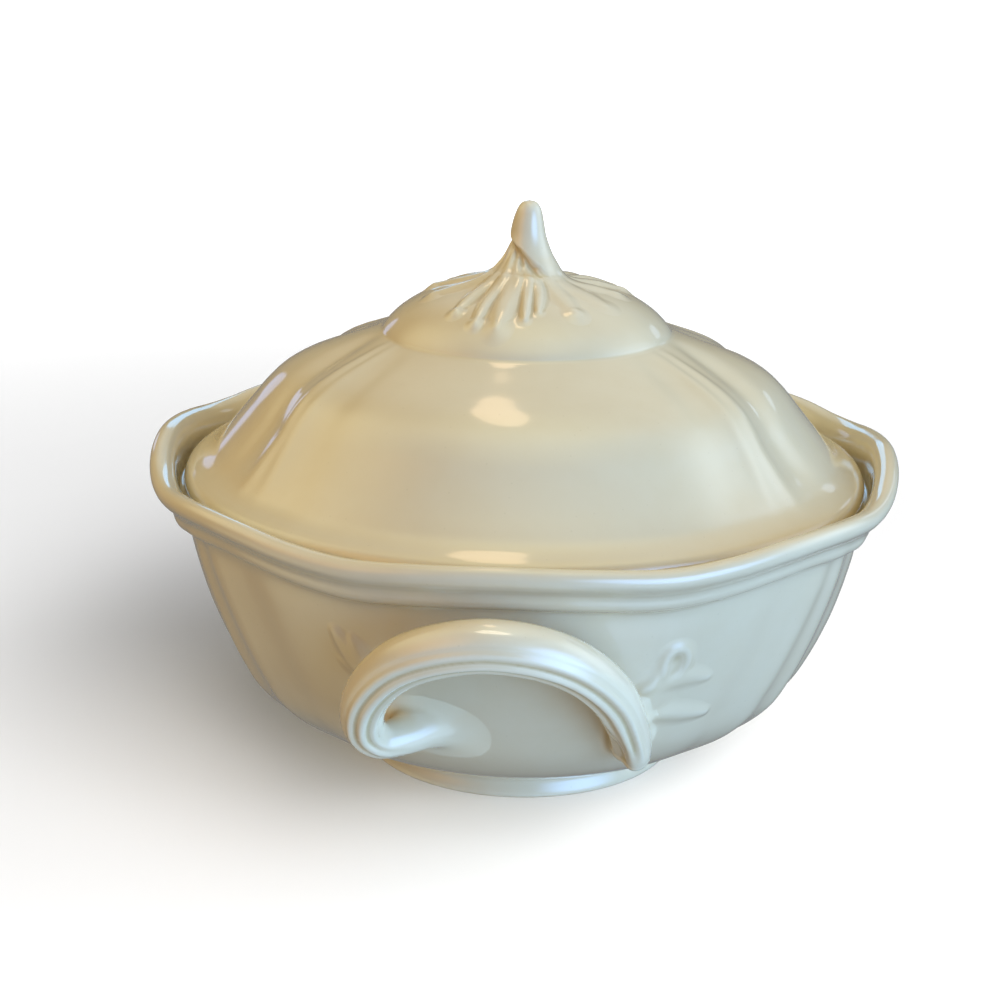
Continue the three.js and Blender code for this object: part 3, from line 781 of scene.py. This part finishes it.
def knob():
    """The knob's surface from the edge of the roots inward over the crown and up the stem, parted in two below the stem's foot. Each part runs on under the other."""
    az = np.arange(720) * .5
    outer = np.arange(44.5, 22, -.3)
    start = [(r, crown_z(r)) for r in (24.5, 22, 19.5)] + [(17, crown_z(17) + .06)]
    inner = spline(start + STEM, [.4] * (len(STEM) + 4))
    inner = inner[inner[:, 0] <= 22]
    prof = np.vstack([np.column_stack([outer, crown_z(outer)]), inner])[:-1]
    t = np.gradient(prof, axis=0)
    t /= np.linalg.norm(t, axis=1, keepdims=True)
    normal = np.column_stack([t[:, 1], -t[:, 0]])
    s = np.concatenate([[0], np.cumsum(np.linalg.norm(np.diff(prof, axis=0), axis=1))])
    R, A = np.meshgrid(prof[:, 0], az, indexing="ij")
    Z = np.repeat(prof[:, 1:], len(az), 1)
    x, y = R * np.sin(np.radians(A)), -R * np.cos(np.radians(A))
    parts = []
    for a0, a1, tip, width, height, end in ROOTS:
        pts = [(r * math.sin(math.radians(a)), -r * math.cos(math.radians(a))) for r, a in ((9, a0), (15, a0 + (a1 - a0) * .2), ((8 + tip) * .55, a0 + (a1 - a0) * .6), (tip - width * .2, a1))]
        parts.append(leaf(x, y, pts, width * .8, height, 0, 2.8))
        parts.append((height * .55 + end) * np.exp(-1.3 * (np.hypot(x - pts[-1][0], y - pts[-1][1]) / (width * .4)) ** 2.4))
    foot = s[int(np.argmin(np.abs(prof[:, 0] - 11.4)))]
    S = np.repeat(s[:, None], len(az), 1)
    roots = soften(join(*parts), 3, True) * ramp(S, foot + 7, foot - 13)
    side = bump(turn(A), -25, 85)
    flare = 2.3 * side * bump(S, foot - 1, 7.5)
    # one leaf is wound round the stem: its edge stands out and leaves a hollow beside it
    edge = np.mod(A - np.interp(Z, GROOVE_Z, GROOVE_AZ), 360)
    wound = np.where(edge < 180, 1 - edge / 300, .4 * (360 - edge) / 180) * ramp(edge, 0, 20) - .75 * bump(edge, 350, 20) - .75 * bump(edge, -10, 20)
    body = ramp(Z, 177.5, 172) * ramp(Z, 154, 161)
    low = ramp(Z, 168, 158) * ramp(S, foot - 12, foot - 3)
    open_side = 1 - ramp(edge, 0, 8) * (1 - ramp(edge, 150, 220))
    strands = sum(k * bump(turn(A - a + (Z - 155) * 2), 0, 9.5 - np.clip((Z - 155) * .2, 0, 2)) for a, k in STRANDS) - .35
    height = roots + flare + .8 * strands * low * open_side + R * .19 * (wound - .45) * body * ramp(R, 15, 10) - .06

    def at(rows, shift):
        h = height[rows] + shift[:, None]
        r, z = prof[rows, 0][:, None] + h * normal[rows, 0][:, None], prof[rows, 1][:, None] + h * normal[rows, 1][:, None]
        return place(np.tile(az, (len(rows), 1)), np.maximum(r, .02), z)

    cut = s[int(np.argmin(np.abs(prof[:, 0] - 11.6)))]
    rows = np.where(s > cut - 3.2)[0]
    top = at(rows, -.2 * ramp(cut - s[rows], 0, 3.2))
    tip = np.array([[0, 0, STEM[-1][1]]] * len(az), float)
    base = np.array([[0, 0, top[0][:, 2].min() - .4]] * len(az), float)
    v, f = ring_grid([base] + list(top) + [tip], True, True)
    add_object("stem", v, facing_out(v - np.array([0, 0, 160.0]), f), "lid", "knob_stem", glaze_dish)

    rows = np.where(s < cut + 3.2)[0]
    shift = -.2 * ramp(s[rows] - cut, 0, 3.2)
    top = at(rows, shift)
    under = prof[rows] - 1.3 * normal[rows]
    back = place(np.tile(az, (len(rows), 1)), np.repeat(under[:, :1], len(az), 1), np.repeat(under[:, 1:], len(az), 1))
    keep = height[rows] > -.05
    keep[1:-1] = keep[1:-1] | keep[:-2] | keep[2:]
    keep |= np.roll(keep, 1, 1) | np.roll(keep, -1, 1)
    # the azimuth closes on itself: the last column meets the first
    index = np.arange(keep.size).reshape(keep.shape)
    nxt = np.roll(index, -1, 1)
    knext = np.roll(keep, -1, 1)
    cell = keep[:-1] & keep[1:] & knext[:-1] & knext[1:]
    front = np.stack([index[:-1][cell], index[1:][cell], nxt[1:][cell], nxt[:-1][cell]], 1)
    verts, faces = thick_sheet(top.reshape(-1, 3), back.reshape(-1, 3), front)
    faces = np.asarray(facing_out(verts - np.array([0, 0, 140.0]), faces))
    add_object("roots", verts, faces, "lid", "knob_leaves", glaze_dish)


knob()


# ------------------------------------------------------------------ floor, light, camera
def floor_material():
    """White paper. It glows a little far from the object, where the lamps do not reach, so that it stays white to its edge."""
    mat = bpy.data.materials.new("floor_paper")
    mat.use_nodes = True
    nodes, links = mat.node_tree.nodes, mat.node_tree.links
    b = nodes["Principled BSDF"]
    b.inputs["Base Color"].default_value = (.86, .86, .86, 1)
    b.inputs["Roughness"].default_value = .8
    b.inputs["Specular IOR Level"].default_value = .1
    b.inputs["Emission Color"].default_value = (1, 1, 1, 1)
    coord = nodes.new("ShaderNodeTexCoord")
    far = nodes.new("ShaderNodeVectorMath")
    far.operation = "LENGTH"
    links.new(coord.outputs["Object"], far.inputs[0])
    glow = nodes.new("ShaderNodeMapRange")
    glow.interpolation_type = "SMOOTHSTEP"
    for i, v in enumerate((.2, 1.3, .04, .95)):
        glow.inputs[i + 1].default_value = v
    links.new(far.outputs["Value"], glow.inputs[0])
    links.new(glow.outputs[0], b.inputs["Emission Strength"])
    return mat


mesh = bpy.data.meshes.new("floor")
s = 14.0
mesh.from_pydata([(-s, -s, 0), (s, -s, 0), (s, s, 0), (-s, s, 0)], [], [(0, 1, 2, 3)])
floor = bpy.data.objects.new("floor", mesh)
mesh.materials.append(floor_material())
bpy.context.scene.collection.objects.link(floor)
floor.visible_diffuse = floor.visible_glossy = floor.visible_shadow = False

TARGET = Vector((0, 0, .09))

# the floor has a lamp of its own, so that it stays a neutral white while the glaze is lit warm from one side and cool from the other
pieces = bpy.data.collections.new("lit_pieces")
for ob in bpy.context.scene.objects:
    if ob.type == "MESH" and ob is not floor:
        pieces.objects.link(ob)
ground = bpy.data.collections.new("lit_ground")
ground.objects.link(floor)


def softbox(name, az, el, distance, size, radiance, color, receivers=None, feather=.15):
    """A round softbox that fades out towards its edge, or a crisp one where feather is 1. Its brightness is given as the radiance at its middle."""
    light = bpy.data.lights.new(name, "AREA")
    light.shape = "ELLIPSE"
    light.size, light.size_y = size
    light.color = color
    light.energy = radiance * math.pi * math.pi * size[0] * size[1] / 4
    if feather < 1:
        light.use_nodes = True
        nodes, links = light.node_tree.nodes, light.node_tree.links
        place_on = nodes.new("ShaderNodeNewGeometry")
        plane = nodes.new("ShaderNodeVectorMath")
        plane.operation = "MULTIPLY"
        plane.inputs[1].default_value = (1, 1, 0)
        links.new(place_on.outputs["Parametric"], plane.inputs[0])
        middle = nodes.new("ShaderNodeVectorMath")
        middle.operation = "DISTANCE"
        middle.inputs[1].default_value = (.5, .5, 0)
        links.new(plane.outputs[0], middle.inputs[0])
        fade = nodes.new("ShaderNodeMapRange")
        fade.interpolation_type = "SMOOTHSTEP"
        for i, v in enumerate((feather * .5, .5, 1, 0)):
            fade.inputs[i + 1].default_value = v
        links.new(middle.outputs["Value"], fade.inputs[0])
        links.new(fade.outputs[0], nodes["Emission"].inputs["Strength"])
    ob = bpy.data.objects.new(name, light)
    a, e = math.radians(az), math.radians(el)
    ob.location = TARGET + distance * Vector((math.sin(a) * math.cos(e), -math.cos(a) * math.cos(e), math.sin(e)))
    ob.rotation_euler = (ob.location - TARGET).to_track_quat("Z", "Y").to_euler()
    ob.visible_camera = False
    bpy.context.scene.collection.objects.link(ob)
    if receivers is not None:
        ob.light_linking.receiver_collection = receivers
    return ob


SKY = .2
for i, (az, el, radiance) in enumerate(((20, 22, 11.5), (45, 38, 7.7), (20, 38, 2.9), (95, 38, 2.2), (95, 22, 1.3), (70, 58, 1.2))):
    softbox("floor_%d" % i, az, el, 2.4, (2.2, 2.2), radiance, (1, 1, 1), ground, .1)
softbox("floor_top", 0, 88, 2.2, (3, 3), .64, (1, 1, 1), ground, .1)
softbox("window_cool", 45, 6, 1.6, (2.2, 2.2), 9.6, (.29, .53, 1.0), pieces, .1)
softbox("window_side", 95, 20, 1.6, (2.2, 2.2), 2.1, (.8, .88, 1.0), pieces, .1)
softbox("table_cool", 38, -32, 1.6, (2.2, 2.2), 1.5, (.54, .72, 1.0), pieces, .1)
softbox("table_warm", -75, -28, 1.6, (2.2, 2.2), .8, (.95, .9, .5), pieces, .1)
softbox("warm_left", -100, 40, 1.6, (2.2, 2.2), 1.55, (1.0, .95, .58), pieces, .1)
softbox("warm_front", -55, 25, 1.6, (2.2, 2.2), 1.6, (1.0, .47, .05), pieces, .1)
softbox("warm_top", 0, 88, 1.6, (2.2, 2.2), 1.45, (1.0, .98, .58), pieces, .1)
softbox("warm_back", 120, 45, 1.6, (2.2, 2.2), .7, (.9, .76, .55), pieces, .1)
softbox("back", 180, 45, 1.6, (2.2, 2.2), .85, (.75, .9, 1.0), pieces, .1)
softbox("lamp_top", -167, 68.5, 1.6, (.265, .52), 3.4, (1.0, .70, .42), pieces, .9)
handles = bpy.data.collections.new("lit_handles")
for name in ("handle_front", "handle_rear"):
    handles.objects.link(bpy.data.objects[name])
softbox("lamp_handle", -14, 77, 1.6, (.9, .5), 5.5, (1.0, .84, .62), handles, .9).visible_diffuse = False
softbox("window_left", -148, 8, 1.7, (.26, .5), 1.15, (.42, .58, 1.0), pieces, .75)
softbox("window_back", -174, 18, 1.7, (.7, .4), 2.2, (.25, .6, 1.0), pieces, .8)
softbox("window_right", 143, 20, 1.8, (.4, .24), 1.0, (.6, .75, 1.0), pieces, .8)

world = bpy.data.worlds.new("studio")
bpy.context.scene.world = world
world.use_nodes = True
world.node_tree.nodes["Background"].inputs["Color"].default_value = (1, 1, 1, 1)
world.node_tree.nodes["Background"].inputs["Strength"].default_value = SKY

bpy.context.scene.view_settings.view_transform = "Standard"

# camera fitted to the outline of the object in the picture
ALPHA, DIST, HIGH, PITCH, YAW, ROLL, FOCAL, PX, PY = 1.7714, 601.743, 270.503, 17.2205, 1.2639, .8303, 1942.738, 482.489, 491.884
a, y, p, r = (math.radians(t) for t in (ALPHA, YAW, PITCH, ROLL))
eye = Vector((DIST * math.sin(a), -DIST * math.cos(a), HIGH)) * MM
level = Vector((-math.sin(a + y), math.cos(a + y), 0))
ahead = level * math.cos(p) + Vector((0, 0, -math.sin(p)))
right = level.cross(Vector((0, 0, 1))).normalized()
up = right.cross(ahead)
right, up = right * math.cos(r) + up * math.sin(r), up * math.cos(r) - right * math.sin(r)
# the picture's middle lies a little off the fitted axis: the camera turns to it, so that it needs no shift
ahead = (ahead + right * ((500 - PX) / FOCAL) - up * ((500 - PY) / FOCAL)).normalized()
right = (right - ahead * right.dot(ahead)).normalized()
up = right.cross(ahead)
cam = bpy.data.cameras.new("camera")
cam.sensor_width = 36
cam.lens = FOCAL * 36 / 1000
cam.clip_start, cam.clip_end = .01, 60
camera = bpy.data.objects.new("camera", cam)
camera.matrix_world = Matrix((
    (right.x, up.x, -ahead.x, eye.x), (right.y, up.y, -ahead.y, eye.y), (right.z, up.z, -ahead.z, eye.z), (0, 0, 0, 1)))
bpy.context.scene.collection.objects.link(camera)
bpy.context.scene.camera = camera
